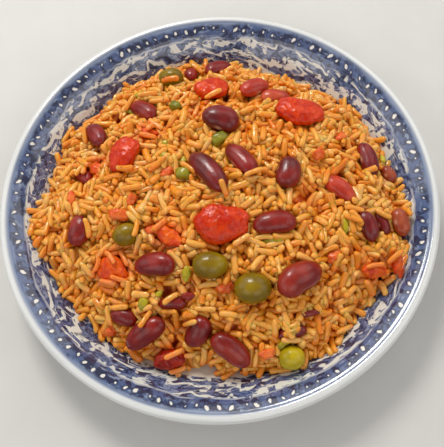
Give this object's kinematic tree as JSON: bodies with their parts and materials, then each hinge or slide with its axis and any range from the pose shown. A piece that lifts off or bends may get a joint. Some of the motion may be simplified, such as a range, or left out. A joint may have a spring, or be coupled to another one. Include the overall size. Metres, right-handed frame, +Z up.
{
  "type": "rice and beans plate",
  "caption": "Deep coupe plate with a blue and white border, heaped with orange tomato rice, red kidney beans, tomato pieces and green olives, ready to serve",
  "frame": {"origin": "on the table under the middle of the plate, at the bottom centre of the bounding box", "axes": "+Z is up, along the plate's axis; +X is to the right and -Y is towards the diner"},
  "size_m": [0.2, 0.2, 0.0442],
  "materials": {
    "glaze": "glossy off-white glaze with a blue underglaze border",
    "rice": "moist cooked grains with a thin tomato coating",
    "bean_skin": "glossy wet skin",
    "tomato_flesh": "wet soft flesh",
    "olive_skin": "glossy smooth skin",
    "pepper_flesh": "moist soft flesh"
  },
  "bodies": {
    "root": {"plate": "glaze", "rice_heap": "rice", "bean_01": "bean_skin", "bean_02": "bean_skin", "bean_03": "bean_skin", "bean_04": "bean_skin", "bean_05": "bean_skin", "bean_06": "bean_skin", "bean_07": "bean_skin", "bean_08": "bean_skin", "bean_09": "bean_skin", "bean_10": "bean_skin", "bean_11": "bean_skin", "bean_12": "bean_skin", "bean_13": "bean_skin", "bean_14": "bean_skin", "bean_15": "bean_skin", "bean_16": "bean_skin", "bean_17": "bean_skin", "bean_18": "bean_skin", "bean_19": "bean_skin", "bean_20": "bean_skin", "bean_21": "bean_skin", "bean_22": "bean_skin", "bean_23": "bean_skin", "bean_24": "bean_skin", "bean_25": "bean_skin", "bean_26": "bean_skin", "bean_27": "bean_skin", "tomato_01": "tomato_flesh", "tomato_02": "tomato_flesh", "tomato_03": "tomato_flesh", "tomato_04": "tomato_flesh", "tomato_05": "tomato_flesh", "tomato_06": "tomato_flesh", "tomato_07": "tomato_flesh", "tomato_08": "tomato_flesh", "tomato_09": "tomato_flesh", "tomato_10": "tomato_flesh", "tomato_11": "tomato_flesh", "olive_01": "olive_skin", "olive_02": "olive_skin", "olive_03": "olive_skin", "olive_04": "olive_skin", "olive_05": "olive_skin", "pepper_01": "pepper_flesh", "pepper_02": "pepper_flesh", "pepper_03": "pepper_flesh"}
  },
  "joints": []
}
